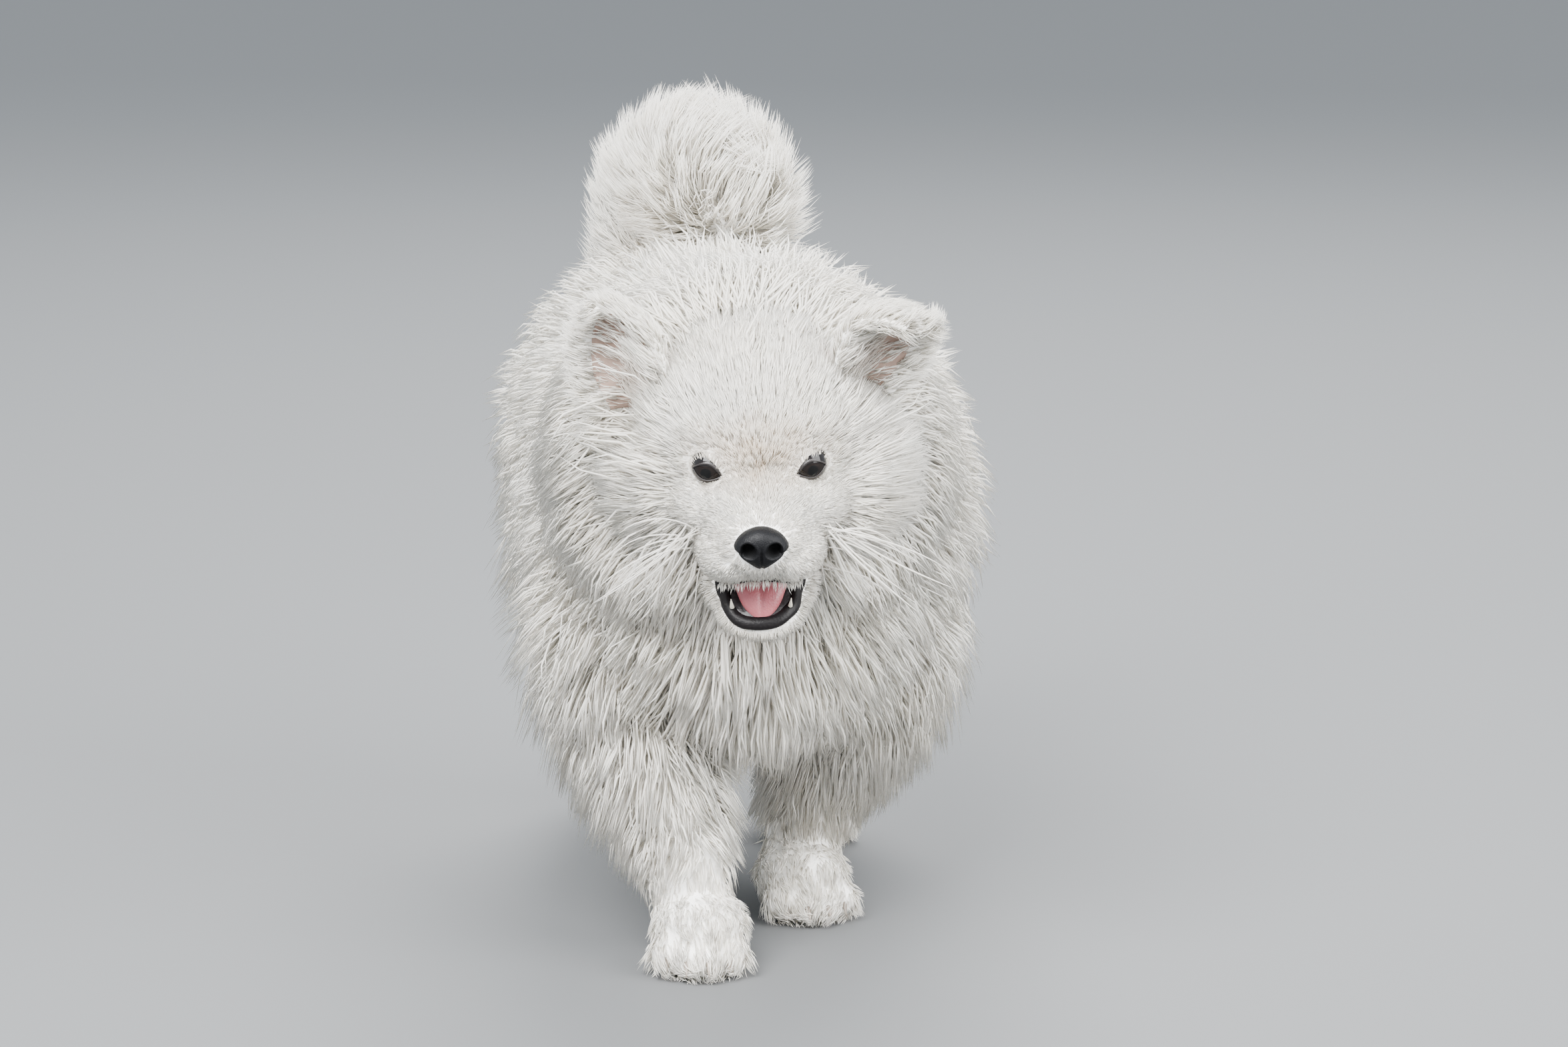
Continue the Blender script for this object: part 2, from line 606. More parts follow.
# Both ears as rows of points, from edge to edge, with the normals of their hollow side.
EAR_ROWS, EAR_COLUMNS = 25, 17
to_tip, edge_to_edge = np.linspace(0, 1, EAR_ROWS), np.linspace(-1, 1, EAR_COLUMNS)
ear_rows = {}
for side, (sign, fold, root, lean, tip_back) in EARS.items():
    place = ear_frame(sign, root, lean, tip_back)
    grid = np.array([[place @ ear_surface(v, s, fold) for s in edge_to_edge] for v in to_tip])
    hollow_side = np.cross(np.gradient(grid, axis=0), np.gradient(grid, axis=1))
    hollow_side = unit(hollow_side.reshape(-1, 3)).reshape(grid.shape)
    if np.dot(hollow_side[4, 8], np.array(place.to_3x3() @ Vector((0, 1, 0)))) < 0:
        hollow_side = -hollow_side
    ear_rows[side] = (grid, hollow_side)
ear_points = np.concatenate([grid.reshape(-1, 3) for grid, _ in ear_rows.values()])
ear_normals = np.concatenate([hollow.reshape(-1, 3) for _, hollow in ear_rows.values()])
ear_tree = KDTree(len(ear_points))
for i, place in enumerate(ear_points):
    ear_tree.insert(place, i)
ear_tree.balance()
ear_edge = np.tile(np.abs(edge_to_edge), EAR_ROWS * len(EARS))

# Bare places, as half sizes round the middle of each eye and of the nose, and hair's lengths in
# metres: by the way ahead on the head, by height on the legs, and as shares of it on the trunk.
EYE_CLEAR, LIP_CLEAR = (0.0096, 0.014, 0.0074), 1.16
NOSE_MIDDLE, NOSE_CLEAR = (0, 0.0640, -0.0155), (0.0104, 0.0085, 0.0084)
HEAD_STOPS = (-0.04, -0.01, 0.012, 0.028, 0.045, 0.062)
HEAD_LENGTHS = (0.034, 0.030, 0.020, 0.0095, 0.0060, 0.0042)
LEG_STOPS, LEG_LENGTHS = (0.040, 0.075, 0.11, 0.17), (0.015, 0.031, 0.043, 0.046)
TRUNK_STOPS, TRUNK_SHARES = (0.10, 0.13, 0.17), (0.85, 1.15, 1.0)
CHEEK_EXTRA = 0.016
# In the hollow of an ear a share of the tufts stands up, at this length and rise.
HOLLOW_SHARE, HOLLOW_LENGTH, HOLLOW_RISE, HOLLOW_HEIGHT = 0.22, 0.012, 34.0, 0.0004


def grow(region, count, steps, length, rise, width, fall, wave):
    """The tufts of one region, scattered over the skin there."""
    odds = patch_area * patch_shares[region] ** 2
    if region == "head":
        odds = odds * np.interp(in_head(patch_middle)[:, 1], (-0.03, 0.02, 0.04), (0.6, 1.6, 2.6))
    picked = chance.choice(len(corners), count, p=odds / odds.sum())
    mix = chance.dirichlet((1, 1, 1), count)
    root = np.einsum("nk,nkc->nc", mix, points[corners[picked]])
    normal = unit(np.einsum("nk,nkc->nc", mix, point_normals[corners[picked]]))
    home = np.einsum("nk,nkc->nc", mix, skin_uv[corner_loops[picked]])
    head = in_head(root)

    keep = mouth_reach(root) > LIP_CLEAR
    near_eye = []
    for side in SIDES:
        local = (root - np.array(EYE_MIDDLE[side])) @ np.array(EYE_TURN[side])
        near_eye.append(np.linalg.norm(local / EYE_CLEAR, axis=1))
    near_eye = np.min(near_eye, axis=0)
    keep &= near_eye > 1.0
    keep &= np.linalg.norm((head - NOSE_MIDDLE) / NOSE_CLEAR, axis=1) > 1.0
    if region == "ear":
        gaps = np.linalg.norm(root[:, None] - ear_points[None], axis=2)
        nearest = gaps.argmin(axis=1)
        facing = np.sum((root - ear_points[nearest]) * ear_normals[nearest], axis=1)
        hollow = (facing > HOLLOW_HEIGHT) & (ear_edge[nearest] < 0.70)
        keep &= ~hollow | (chance.uniform(0, 1, count) < HOLLOW_SHARE)
    root, normal, home, head, near_eye = root[keep], normal[keep], home[keep], head[keep], near_eye[keep]
    shares = region_shares(root)

    lengths = np.full(len(root), length)
    if region == "head":
        lengths = np.interp(head[:, 1], HEAD_STOPS, HEAD_LENGTHS)
        cheek = np.clip((np.abs(head[:, 0]) - 0.021) / 0.014, 0, 1)
        cheek *= np.clip((0.036 - head[:, 1]) / 0.018, 0, 1)
        lengths = (lengths + CHEEK_EXTRA * cheek) * np.interp(near_eye, (1.0, 2.2), (0.35, 1.0))
        near_ear = np.array([ear_tree.find(place)[2] for place in root])
        lengths = lengths * np.interp(near_ear, (0.004, 0.022), (0.40, 1.0))
    if region == "leg":
        lengths = np.interp(root[:, 2], LEG_STOPS, LEG_LENGTHS)
    if region == "trunk":
        lengths = lengths * np.interp(root[:, 2], TRUNK_STOPS, TRUNK_SHARES)
    lie = lie_way(root, normal, shares)
    if region == "ear":
        facing = np.sum((root - ear_points[nearest[keep]]) * ear_normals[nearest[keep]], axis=1)
        rise = np.where(facing > HOLLOW_HEIGHT, HOLLOW_RISE, rise)
        lengths = np.where(facing > HOLLOW_HEIGHT, HOLLOW_LENGTH, lengths)
    return shape_tufts(root, normal, lie, home, lengths, steps, rise, width, fall, wave)


class Wire:
    """A number in a material, which adds, multiplies and compares as numbers do."""

    def __init__(self, paint, socket):
        self.paint, self.socket = paint, socket

    def maths(self, kind, other, clamp=False):
        settings = {"operation": kind, "use_clamp": clamp}
        return self.paint.node("ShaderNodeMath", 0, settings, {0: self, 1: other})

    def __add__(self, other):
        return self.maths("ADD", other)

    def __sub__(self, other):
        return self.maths("SUBTRACT", other)

    def __rsub__(self, other):
        return (self * -1) + other

    def __mul__(self, other):
        return self.maths("MULTIPLY", other)

    def __truediv__(self, other):
        return self.maths("DIVIDE", other)

    def clamp(self):
        return self.maths("ADD", 0.0, clamp=True)

    __radd__, __rmul__ = __add__, __mul__


class Paint:
    """A material, built node by node."""

    def __init__(self, name):
        self.material = bpy.data.materials.new(name)
        self.material.use_nodes = True
        self.tree = self.material.node_tree
        self.shader = self.tree.nodes["Principled BSDF"]
        self.out = self.tree.nodes["Material Output"]
        self.place = self.node("ShaderNodeTexCoord", "Object")

    def put(self, slot, value):
        if isinstance(value, Wire):
            self.tree.links.new(value.socket, slot)
        else:
            slot.default_value = value

    def node(self, kind, output=0, settings=None, slots=None, **values):
        """Adds a node: its settings, then what goes into its sockets, by number or by name."""
        made = self.tree.nodes.new(kind)
        for key, value in (settings or {}).items():
            setattr(made, key, value)
        for key, value in (slots or {}).items():
            self.put(made.inputs[key], value)
        for key, value in values.items():
            self.put(made.inputs[key.replace("_", " ")], value)
        return Wire(self, made.outputs[output])

    def noise(self, scale, detail=3.0):
        return self.node("ShaderNodeTexNoise", Vector=self.place, Scale=scale, Detail=detail)

    def near(self, middle, inner, outer):
        """1 within inner of a point and 0 beyond outer, in metres."""
        ends = {0: self.place, 1: tuple(middle)}
        away = self.node("ShaderNodeVectorMath", "Value", {"operation": "DISTANCE"}, ends)
        return ((outer - away) / (outer - inner)).clamp()

    def mix(self, share, first, second):
        first, second = ((*c, 1) if isinstance(c, tuple) else c for c in (first, second))
        return self.node("ShaderNodeMix", 2, {"data_type": "RGBA"}, {0: share, 6: first, 7: second})

    def bump(self, height, strength, distance):
        return self.node("ShaderNodeBump", Height=height, Strength=strength, Distance=distance)

    def finish(self, colour, roughness, normal=None, **fixed):
        self.put(self.shader.inputs["Base Color"], colour)
        self.put(self.shader.inputs["Roughness"], roughness)
        if normal:
            self.put(self.shader.inputs["Normal"], normal)
        for key, value in fixed.items():
            self.put(self.shader.inputs[key.replace("_", " ")], value)
        return self.material


def hair_colour(paint):
    """White with cream in patches, beige between the eyes and at the tail, brown in the ears."""
    patches = (paint.noise(22.0) - 0.40) * 3.0
    fine = paint.noise(160.0, 2.0)
    tint = paint.mix((patches * 0.5).clamp(), (0.965, 0.95, 0.915), (0.93, 0.885, 0.79))
    brow = paint.near(HEAD @ Vector((0, 0.040, 0.014)), 0.004, 0.024)
    tint = paint.mix((brow * fine * 1.3).clamp(), tint, (0.60, 0.465, 0.335))
    curl = paint.near(BODY_PLACE + (-0.005, 0.150, 0.275), 0.010, 0.050)
    tint = paint.mix((curl * 0.55).clamp(), tint, (0.74, 0.64, 0.51))
    for side in SIDES:
        lid_middle = EYE_MIDDLE[side] + HEAD_TURN @ Vector((0, 0.004, 0.006))
        corner = paint.near(lid_middle, 0.011, 0.019)
        tint = paint.mix((corner * fine * 0.8).clamp(), tint, (0.70, 0.60, 0.50))
        sign, fold, root, lean, tip_back = EARS[side]
        depth = ear_frame(sign, root, lean, tip_back) @ ear_surface(0.36, -sign * 0.35, fold)
        shade = paint.near(depth, 0.004, 0.017)
        tint = paint.mix((shade * (fine * 0.6 + 0.55)).clamp(), tint, (0.50, 0.37, 0.31))
    return tint


hair = Paint("coat_hair")
along_hair = hair.node("ShaderNodeAttribute", "Fac", {"attribute_name": "along"})
tone = hair.node("ShaderNodeAttribute", "Fac", {"attribute_name": "tone"})
hair_tint = hair.mix(((1 - along_hair) * 0.14 + tone * 0.10).clamp(), hair_colour(hair), (0.82, 0.77, 0.68))
hair.finish(hair_tint, 0.55 + tone * 0.2)
through = hair.node("ShaderNodeBsdfTranslucent", Color=(0.95, 0.92, 0.86, 1))
sheen = Wire(hair, hair.shader.outputs[0])
hair.put(hair.out.inputs[0], hair.node("ShaderNodeMixShader", slots={0: 0.48, 1: sheen, 2: through}))

hide = Paint("short_coat")
nap = hide.noise(900.0, 2.0)
hide.finish(hair_colour(hide), 0.75, hide.bump(nap, 0.6, 0.0006))
skin.data.materials.append(hide.material)
lining = Paint("mouth_lining")
veins = lining.noise(380.0)
flesh_red = lining.mix(veins, (0.13, 0.030, 0.032), (0.26, 0.075, 0.075))
deep = lining.near(JAW @ Vector((0, 0.016, 0.010)), 0.008, 0.022)
gum = lining.mix(deep, (0.012, 0.008, 0.009), flesh_red)
lining.finish(gum, 0.32, lining.bump(veins, 0.5, 0.0008))
skin.data.materials.append(lining.material)
inside = mouth_reach(np.array([face.center for face in skin.data.polygons])) < 1.05
skin.data.polygons.foreach_set("material_index", inside.astype(np.int32))


def coat_piece(name, verts, pattern, along, uv, tone):
    """One mesh of many tufts, with its unwrap and the attributes its paint reads."""
    count, each = verts.shape[:2]
    faces = (pattern[None] + (np.arange(count) * each)[:, None, None]).reshape(-1, 3)
    mesh = bpy.data.meshes.new(name)
    mesh.vertices.add(count * each)
    mesh.vertices.foreach_set("co", verts.reshape(-1))
    mesh.loops.add(faces.size)
    mesh.loops.foreach_set("vertex_index", faces.reshape(-1))
    mesh.polygons.add(len(faces))
    mesh.polygons.foreach_set("loop_start", np.arange(0, faces.size, 3))
    mesh.update(calc_edges=True)
    layer = mesh.uv_layers.new(name="OFBake")
    layer.data.foreach_set("uv", uv.reshape(-1, 2)[faces.reshape(-1)].reshape(-1))
    for key, values in (("along", np.tile(along, count)), ("tone", np.repeat(tone, each))):
        mesh.attributes.new(key, "FLOAT", "POINT").data.foreach_set("value", values)
    mesh.shade_smooth()
    mesh.materials.append(hair.material)
    piece = bpy.data.objects.new(name, mesh)
    bpy.context.scene.collection.objects.link(piece)
    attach(piece, "root")
    return piece


PIECE_LIMIT = 190000  # triangles
for region, values in TUFTS.items():
    verts, pattern, along, uv, tone = grow(region, *values)
    pieces = math.ceil(len(verts) * len(pattern) / PIECE_LIMIT)
    for i, rows in enumerate(np.array_split(np.argsort(verts[:, 0, 1], kind="stable"), pieces)):
        name = f"coat_{region}_{i + 1}" if pieces > 1 else f"coat_{region}"
        coat_piece(name, verts[rows], pattern, along, uv[rows], tone[rows])


# The eyes: moist, nearly black brown balls with a black pupil, each behind an almond of bare
# black rim and a furred lid that leans up towards its outer corner. The ball is a sphere, and the
# lid a band of rings that ends on the skin of the head, with its own short hair.
IRIS_EDGE, PUPIL_EDGE, EYE_BACK = 4.6, 2.5, 20  # millimetres off the eye's axis
eye_paint = Paint("eye_iris")
off_axis = eye_paint.node("ShaderNodeAttribute", "Fac", {"attribute_name": "off_axis"})
fibres = eye_paint.noise(1400.0)
iris = eye_paint.mix(fibres, (0.003, 0.0022, 0.002), (0.010, 0.006, 0.0045))
iris = eye_paint.mix(((off_axis - IRIS_EDGE) / 1.1).clamp(), iris, (0.006, 0.005, 0.005))
iris = eye_paint.mix(((PUPIL_EDGE - off_axis) / 0.3).clamp(), iris, (0.001, 0.001, 0.001))
eye_paint.finish(
    iris, 0.05 + fibres * 0.04, Coat_Weight=0.2, Coat_Roughness=0.03, Specular_IOR_Level=0.2
)

rim_paint = Paint("eye_rim")
rim_grain = rim_paint.noise(2200.0)
rim_paint.finish(
    rim_paint.mix(rim_grain, (0.006, 0.005, 0.005), (0.028, 0.022, 0.020)),
    0.30 + rim_grain * 0.15, rim_paint.bump(rim_grain, 0.4, 0.0002),
)


def finish_piece(piece, paints):
    """Turns a piece's normals outwards, smooths and paints it, and fixes it to the body."""
    shape = bmesh.new()
    shape.from_mesh(piece.data)
    bmesh.ops.recalc_face_normals(shape, faces=shape.faces)
    shape.to_mesh(piece.data)
    shape.free()
    for paint in paints:
        piece.data.materials.append(paint.material)
    piece.data.shade_smooth()
    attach(piece, "root")
    return piece


def shaped_sphere(name, segments, rings, shape, paint):
    """A unit sphere with its pole ahead, each point (across, ahead, up) moved by shape."""
    bpy.ops.object.select_all(action="DESELECT")
    bpy.ops.mesh.primitive_uv_sphere_add(segments=segments, ring_count=rings, radius=1.0)
    piece = bpy.context.object
    piece.name = piece.data.name = name
    for vert in piece.data.vertices:
        across, up, forward = vert.co
        vert.co = shape(across, forward, up)
    return finish_piece(piece, [paint])


def mesh_piece(name, verts, faces, paints):
    """A piece from rows of points worked out along another piece, and the faces between them."""
    mesh = bpy.data.meshes.new(name)
    mesh.from_pydata([tuple(v) for v in verts], [], [tuple(int(k) for k in f) for f in faces])
    piece = bpy.data.objects.new(name, mesh)
    bpy.context.scene.collection.objects.link(piece)
    return finish_piece(piece, paints)


def band(rows, columns, closed=True):
    """Quads between rows of points, each row a ring of so many columns."""
    faces = []
    for i in range(rows - 1):
        for j in range(columns if closed else columns - 1):
            k = (j + 1) % columns
            faces.append((i * columns + j, i * columns + k, (i + 1) * columns + k, (i + 1) * columns + j))
    return faces


ALMOND_OUT, ALMOND_UP, ALMOND_DOWN = 0.0062, 0.0041, 0.0034
ALMOND_LEAN, CORNER_DROP, CORNER_REACH = math.radians(8), 0.0007, 0.0070
# Each ring of a lid: its size in almonds, its radius round the eye, how far it goes from there to
# the skin, and its lift over the skin.
LID_RINGS = (
    (0.94, 0.00835, 0.0, 0.0),
    (0.99, 0.0089, 0.0, 0.0),
    (1.10, 0.0092, 0.25, 0.0),
    (1.22, 0.0092, 0.60, 0.0004),
    (1.50, 0.0090, 1.0, 0.0005),
    (1.85, 0.0084, 1.0, -0.0016),
)
LID_COLUMNS, LID_HAIRS, RIM_RINGS = 40, 900, 2.5


def almond(a, edge):
    """A point of the lid's almond at angle a, out and up, grown by a share edge."""
    height = ALMOND_UP if math.sin(a) > 0 else -ALMOND_DOWN
    up = height * (1 - abs(math.cos(a)) ** 1.8) ** 0.9 - CORNER_DROP * max(0.0, -math.cos(a)) ** 3
    up = up * (1 + edge) + math.sin(a) * max(edge, 0) * 0.0022
    out = ALMOND_OUT * math.cos(a) * (1 + edge * 0.75)
    cos, sin = math.cos(ALMOND_LEAN), math.sin(ALMOND_LEAN)
    return out * cos - up * sin, out * sin + up * cos


for side, sign in SIDES.items():
    middle, turn = EYE_MIDDLE[side], EYE_TURN[side]
    eyeball = shaped_sphere(
        "eyeball_" + side, LID_COLUMNS, 24,
        lambda x, f, u: middle + turn @ Vector((x, f, u)) * EYE_RADIUS, eye_paint,
    )
    local = (read(eyeball.data.vertices, "co", 3) - np.array(middle)) @ np.array(turn)
    off = np.hypot(local[:, 0], local[:, 2]) * 1000 + np.where(local[:, 1] < 0, EYE_BACK, 0)
    eyeball.data.attributes.new("off_axis", "FLOAT", "POINT").data.foreach_set("value", off)
    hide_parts("eye_" + side)

    rings = []
    for scale, radius, share, lift in LID_RINGS:
        for j in range(LID_COLUMNS):
            out, up = almond(2 * math.pi * (j + 0.5) / LID_COLUMNS, scale - 1)
            reach = math.hypot(out, up)
            depth = math.sqrt(max(radius**2 - min(reach, CORNER_REACH) ** 2, 0))
            depth -= max(0.0, reach - CORNER_REACH) * 0.75
            start = middle + turn @ Vector((sign * out, 0.03, up))
            hit = whole.ray_cast(start, turn @ Vector((0, -1, 0)), 0.05)[0]
            if hit is not None:
                depth += ((turn.transposed() @ (hit - middle)).y + lift - depth) * share
            rings.append(middle + turn @ Vector((sign * out, depth, up)))
    lid = mesh_piece(
        "eyelid_" + side, rings, band(len(LID_RINGS), LID_COLUMNS), [rim_paint, hide]
    )
    paint_rows = np.repeat((0, 0, 0, 1, 1), LID_COLUMNS).astype(np.int32)
    lid.data.polygons.foreach_set("material_index", paint_rows)

    rings = np.array(rings).reshape(len(LID_RINGS), LID_COLUMNS, 3)
    ring = RIM_RINGS + 2.4 * chance.uniform(0, 1, LID_HAIRS)
    low, column = ring.astype(int), chance.integers(0, LID_COLUMNS, LID_HAIRS)
    first, second = rings[low, column], rings[np.minimum(low + 1, len(LID_RINGS) - 1), column]
    root = first + (second - first) * (ring - low)[:, None] + chance.normal(0, 0.0002, (LID_HAIRS, 3))
    normal = unit(root - np.array(middle) - np.array(turn @ Vector((0, 0.002, 0))))
    from_eye = unit(root - np.array(middle + turn @ Vector((0, 0.008, 0))))
    lie = lie_way(root, normal, {"head": np.ones(LID_HAIRS)}) + from_eye * 0.9
    lie = unit(lie - normal * np.sum(lie * normal, axis=1)[:, None])
    lengths = chance.uniform(0.003, 0.0055, LID_HAIRS)
    tufts = shape_tufts(root, normal, lie, home_of(root), lengths, 2, 22, 0.0008, 0.0, 0.02, 6)
    coat_piece("lid_hair_" + side, *tufts)


# The nose: one pad of black, pebbled, moist leather, broad above and narrow below, with round
# nostrils that open to the sides and a groove down to the lip. It is a sphere pressed into shape.
NOSE_PLACE, NOSE_HALF = (0, 0.0648, -0.0155), (0.0112, 0.0078, 0.0092)
nose_paint = Paint("nose_pad")
pebbles = nose_paint.node("ShaderNodeTexVoronoi", "Distance", Vector=nose_paint.place, Scale=1500.0)
damp = nose_paint.noise(240.0)
hollow = nose_paint.node("ShaderNodeAttribute", "Fac", {"attribute_name": "hollow"})
nose_shade = nose_paint.mix(pebbles, (0.004, 0.004, 0.005), (0.0015, 0.0015, 0.002))
nose_paint.finish(
    nose_paint.mix((hollow * 1.2).clamp(), nose_shade, (0.0005, 0.0005, 0.0005)),
    0.36 + damp * 0.22 + hollow * 0.4, nose_paint.bump(pebbles, 0.35, 0.0003), Specular_IOR_Level=0.17,
)
hollows = []


def nose_form(x, forward, u):
    """Moves a point of a unit sphere to its place on the nose, and notes how far in a nostril."""
    x *= np.interp(u, (-1.0, -0.45, 0.1, 0.7, 1.0), (0.42, 0.80, 1.04, 0.98, 0.85))
    wing = math.exp(-(((abs(x) - 0.78) / 0.22) ** 2) - ((u - 0.02) / 0.38) ** 2)
    f = (abs(forward) ** 0.8 if forward > 0 else -abs(forward)) + 0.10 * wing
    hollow_here = 0.0
    if forward > -0.1:
        hole = math.hypot((abs(x) - 0.48) / 0.25, (u - 0.12) / 0.30)
        slit = math.hypot((abs(x) - 0.82) / 0.20, (u + 0.14) / 0.10)
        hollow_here = 1 / (1 + hole**6)
        f -= 0.75 * hollow_here + 0.30 / (1 + slit**4)
        f -= 0.13 * math.exp(-((x / 0.055) ** 2)) * np.interp(u, (0.0, 0.4), (1.0, 0.0))
        f += 0.07 * math.exp(-(((hole - 1.35) / 0.28) ** 2))
    hollows.append(hollow_here)
    moved = np.array((x, f, u)) * NOSE_HALF + NOSE_PLACE
    return HEAD @ Vector(moved)


pad = shaped_sphere("nose_pad", 96, 64, nose_form, nose_paint)
pad.data.attributes.new("hollow", "FLOAT", "POINT").data.foreach_set("value", hollows)
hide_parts("nose")


# The mouth: black lips round the opening, a wet pink tongue with a groove, and two small lower
# canines. The lips are a tube along the edge that the mouth's hollow leaves in the skin, the
# tongue is a sphere pressed into shape, and fine white hairs hang over the upper lip.
LIP_STATIONS, LIP_COLUMNS, LIP_WIDE, LIP_THICK = 96, 12, 0.0030, 0.0018
lip_paint = Paint("lip_black")
lip_grain = lip_paint.noise(900.0)
lip_paint.finish(
    lip_paint.mix(lip_grain, (0.003, 0.0025, 0.003), (0.010, 0.008, 0.008)),
    0.28 + lip_grain * 0.2, lip_paint.bump(lip_grain, 0.4, 0.0004), Specular_IOR_Level=0.17,
)


def horn(line, root_radius, bend, ups, columns):
    """Points and faces of a closed horn along a line, thinning from its root to its tip."""
    line = np.array(line)
    ahead_way = unit(np.gradient(line, axis=0))
    side = unit(np.cross(ahead_way, np.tile(ups, (len(line), 1))))
    up = np.cross(side, ahead_way)
    rings = []
    for k, t in enumerate(np.linspace(0, 1, len(line))):
        radius = root_radius * (1 - t**bend) + 0.0001
        for j in range(columns):
            a = 2 * math.pi * j / columns
            rings.append(line[k] + (side[k] * math.cos(a) + up[k] * math.sin(a)) * radius)
    last, end = (len(line) - 1) * columns, len(line) * columns
    caps = [(j, (j + 1) % columns, end) for j in range(columns)]
    caps += [(last + j, last + (j + 1) % columns, end + 1) for j in range(columns)]
    return rings + [line[0], line[-1]], band(len(line), columns) + caps


paints_at = {}
for face in skin.data.polygons:
    for key in face.edge_keys:
        paints_at.setdefault(key, []).append(face.material_index)
border = {}
for key, kinds in paints_at.items():
    if len(set(kinds)) == 2:
        for a, b in (key, key[::-1]):
            border.setdefault(a, []).append(b)
loops, seen = [], set()
for start in border:
    if start in seen:
        continue
    loop, at = [start], start
    seen.add(start)
    while following := [k for k in border[at] if k not in seen]:
        at = following[0]
        seen.add(at)
        loop.append(at)
    loops.append(loop)
lip_line = np.array([skin.data.vertices[k].co for k in max(loops, key=len)])
for _ in range(6):
    lip_line = (np.roll(lip_line, 1, axis=0) + 2 * lip_line + np.roll(lip_line, -1, axis=0)) / 4
lip_steps = np.linalg.norm(np.diff(lip_line, axis=0, append=lip_line[:1]), axis=1)
along_line = np.append(0, np.cumsum(lip_steps))
stations = np.linspace(0, along_line[-1], LIP_STATIONS + 1)[:-1]
closed_line = np.vstack([lip_line, lip_line[:1]])
lip_line = np.stack([np.interp(stations, along_line, closed_line[:, k]) for k in range(3)], axis=1)
outward = unit(lip_line - np.array(MOUTH))
ring_way = unit(np.roll(lip_line, -1, axis=0) - np.roll(lip_line, 1, axis=0))
side = unit(np.cross(ring_way, outward))
verts = []
for k in range(LIP_STATIONS):
    for j in range(LIP_COLUMNS):
        a = 2 * math.pi * j / LIP_COLUMNS
        bulge = outward[k] * math.cos(a) * LIP_WIDE + side[k] * math.sin(a) * LIP_THICK
        verts.append(lip_line[k] + bulge)
last = (LIP_STATIONS - 1) * LIP_COLUMNS
faces = band(LIP_STATIONS, LIP_COLUMNS)
for j in range(LIP_COLUMNS):
    k = (j + 1) % LIP_COLUMNS
    faces.append((last + j, last + k, k, j))
mesh_piece("lips", verts, faces, [lip_paint])

tongue_paint = Paint("tongue_pink")
buds = tongue_paint.node("ShaderNodeTexVoronoi", "Distance", Vector=tongue_paint.place, Scale=1300.0)
blush = tongue_paint.noise(130.0)
tongue_paint.finish(
    tongue_paint.mix(blush, (0.30, 0.062, 0.078), (0.46, 0.135, 0.145)),
    0.30 + buds * 0.15, tongue_paint.bump(buds, 0.35, 0.0003), Subsurface_Weight=0.15, Coat_Weight=0.15,
)
tongue_paint.shader.inputs["Subsurface Scale"].default_value = 0.003
TONGUE_HALF_WIDTH, TONGUE_HALF_LENGTH, TONGUE_PLACE = 0.0126, 0.0265, (0, 0.0275, 0.0068)


def tongue_form(x, f, u):
    """Moves a point of a unit sphere to its place on the tongue: flat, grooved, its tip drooping."""
    top = max(u, 0.0)
    half_width = TONGUE_HALF_WIDTH * np.interp(f, (-1.0, 0.2, 0.75, 1.0), (0.85, 1.0, 0.95, 0.80))
    rise = 0.0040 * u - 0.0011 * top * math.exp(-((x / 0.10) ** 2)) + 0.0022 * x * x * top
    droop = 0.0060 * max(0.0, f - 0.25) ** 2 - 0.0055 * (1 - f) / 2
    return JAW @ (Vector(TONGUE_PLACE) + Vector((x * half_width, TONGUE_HALF_LENGTH * f, rise - droop)))


tongue = shaped_sphere("tongue_top", 64, 48, tongue_form, tongue_paint)
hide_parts("tongue")

tooth_paint = Paint("tooth")
tooth_shade = tooth_paint.noise(500.0)
ivory = tooth_paint.mix(tooth_shade, (0.80, 0.76, 0.66), (0.70, 0.63, 0.48))
tooth_paint.finish(ivory, 0.20 + tooth_shade * 0.1)
TOOTH_OUT, TOOTH_AHEAD, TOOTH_ROOT = 0.0122, 0.0475, 0.0035
TOOTH_HEIGHT, TOOTH_RADIUS = 0.0070, 0.0010
for side, sign in SIDES.items():
    line = []
    for t in np.linspace(0, 1, 9):
        out, ahead_of = TOOTH_OUT + 0.0006 * t, TOOTH_AHEAD + 0.0015 * t - 0.0022 * t * t
        line.append(JAW @ Vector((sign * out, ahead_of, TOOTH_ROOT + TOOTH_HEIGHT * t)))
    verts, faces = horn(line, TOOTH_RADIUS, 1.6, np.array(JAW.to_3x3() @ Vector((0, 1, 0))), 10)
    mesh_piece("canine_" + side, verts, faces, [tooth_paint])

LIP_HAIRS = 260
edge = (lip_line - np.array(MOUTH)) @ np.array(JAW.to_3x3())
upper = np.flatnonzero((edge[:, 2] > 0.003) & (edge[:, 1] > 0.004) & (np.abs(edge[:, 0]) < 0.016))
picked = chance.choice(upper, LIP_HAIRS)
root = lip_line[picked] + outward[picked] * chance.uniform(0.0012, 0.0040, LIP_HAIRS)[:, None]
root += chance.normal(0, 0.0007, (LIP_HAIRS, 3))
front = np.tile(np.array(HEAD_TURN @ Vector((0, 1, 0))), (LIP_HAIRS, 1))
lie = unit(np.array((0, 0, -1.0)) + (root - np.array(MOUTH)) * (12, 0, 0) + front * 0.15)
homes = home_of(root)
lengths = chance.uniform(0.0020, 0.0050, LIP_HAIRS)
coat_piece("lip_hair", *shape_tufts(root, front, lie, homes, lengths, 3, 18, 0.0005, 0.1, 0.05, 0))


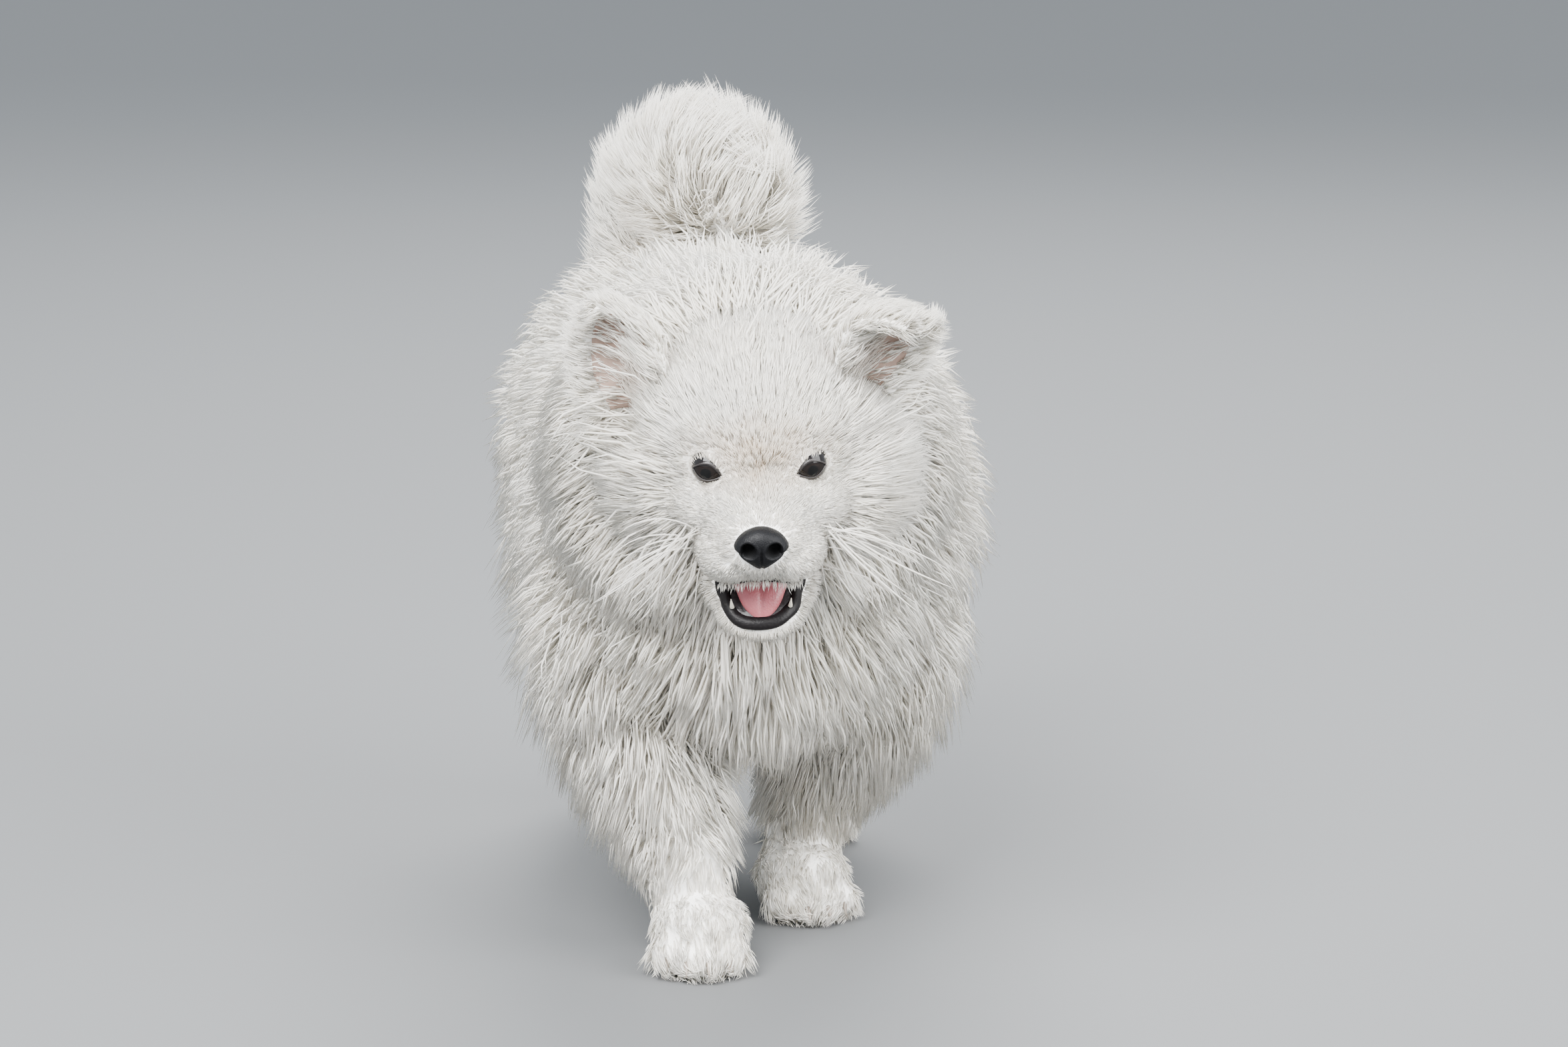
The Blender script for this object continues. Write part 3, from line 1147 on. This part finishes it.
# The hollows of the ears: bare pink-brown skin, a thin sheet with a wall just off the ear's
# hollow side, with long cream hairs that reach over it from the edge nearer the skull.
HOLLOW_OFF, HOLLOW_WALL = 0.0006, 0.0006
ear_paint = Paint("ear_hollow")
flush = ear_paint.noise(70.0)
ear_paint.finish(
    ear_paint.mix(flush, (0.25, 0.155, 0.125), (0.50, 0.37, 0.30)),
    0.6 + flush * 0.15, ear_paint.bump(ear_paint.noise(700.0), 0.4, 0.0005),
)
for side, (grid, hollow) in ear_rows.items():
    inner = (grid + hollow * (EAR_WALL / 2 + HOLLOW_OFF))[1:-2, 2:-2]
    faces = band(*inner.shape[:2], closed=False)
    sheet = mesh_piece("ear_hollow_" + side, inner.reshape(-1, 3), faces, [ear_paint])
    wall = sheet.modifiers.new("wall", "SOLIDIFY")
    wall.thickness = HOLLOW_WALL
    wall.offset = 0.0
    bpy.ops.object.select_all(action="DESELECT")
    sheet.select_set(True)
    bpy.context.view_layer.objects.active = sheet
    bpy.ops.object.modifier_apply(modifier="wall")

FRINGE_HAIRS = 520
for side, (grid, hollow) in ear_rows.items():
    at = chance.uniform(0, 14, FRINGE_HAIRS)
    low = at.astype(int)
    column = {"left": 2, "right": 14}[side] + chance.integers(-2, 3, FRINGE_HAIRS)
    root = grid[low, column] + (grid[low + 1, column] - grid[low, column]) * (at - low)[:, None]
    root = root + hollow[low, column] * (EAR_WALL / 2)
    normal = hollow[low, column]
    upward = unit(grid[low + 1, column] - grid[low, column])
    inward = unit(grid[low, EAR_COLUMNS // 2] - grid[low, column])
    lie = unit(upward * 0.8 + inward * chance.uniform(0.3, 1.0, FRINGE_HAIRS)[:, None])
    lengths = chance.uniform(0.012, 0.020, FRINGE_HAIRS)
    tufts = shape_tufts(root, normal, lie, home_of(root), lengths, 4, 30, 0.0007, 0.0, 0.05, 8)
    coat_piece("ear_fringe_" + side, *tufts)


# The whiskers: long white bristles in rows on both sides of the muzzle. Each is one tuft of ten
# steps that stands out from the skin where a ray from the side meets it, and bends down.
WHISKERS_A_SIDE, WHISKERS_A_ROW = 13, 4
skin_faces = [face.vertices for face in skin.data.polygons]
surface = BVHTree.FromPolygons([vert.co for vert in skin.data.vertices], skin_faces)
roots, normals, lies, lengths = [], [], [], []
for sign in SIDES.values():
    for k in range(WHISKERS_A_SIDE):
        row, step = divmod(k, WHISKERS_A_ROW)
        start = HEAD @ Vector((sign * 0.060, 0.047 - 0.0040 * step, -0.0165 - 0.0034 * row))
        inside_muzzle = HEAD @ Vector((0, 0.040, -0.018 - 0.0034 * row))
        hit, normal, _, _ = surface.ray_cast(start, (inside_muzzle - start).normalized())
        if hit is None:
            continue
        roots.append(hit)
        normals.append(normal)
        lies.append(HEAD_TURN @ Vector((sign * 0.75, -0.45, -0.30 - 0.12 * row + 0.1 * step)))
        lengths.append(chance.uniform(0.046, 0.064))
roots, normals = np.array(roots), np.array(normals)
lies = np.array(lies)
lies = unit(lies - normals * np.sum(lies * normals, axis=1)[:, None])
homes, lengths = home_of(roots), np.array(lengths)
coat_piece("whiskers", *shape_tufts(roots, normals, lies, homes, lengths, 10, 68, 0.0010, 0.55, 0.01, 0))


# The claws: small curved points of grey-brown horn, one at the end of each toe, half hidden by
# the hair of the feet. All sixteen are one mesh.
CLAW_RADIUS, CLAW_STEPS, CLAW_COLUMNS = 0.0016, 6, 8
claw_paint = Paint("claw_horn")
layers = claw_paint.noise(600.0)
claw_paint.finish(claw_paint.mix(layers, (0.16, 0.13, 0.11), (0.34, 0.29, 0.24)), 0.35 + layers * 0.2)
verts, faces = [], []
for toe, heading in toe_places:
    turn = Matrix.Rotation(math.radians(heading), 3, "Z")
    line = []
    for t in np.linspace(0, 1, CLAW_STEPS):
        line.append(toe + turn @ Vector((0, -0.0075 - 0.0070 * t, 0.0005 - 0.0052 * t * t)))
    claw_verts, claw_faces = horn(line, CLAW_RADIUS, 1.5, (0.0, 0.0, 1.0), CLAW_COLUMNS)
    faces += [tuple(len(verts) + k for k in face) for face in claw_faces]
    verts += claw_verts
mesh_piece("claws", verts, faces, [claw_paint])

size = {"cad": [list(corner) for corner in cad_box], "scene": [list(corner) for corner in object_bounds()]}
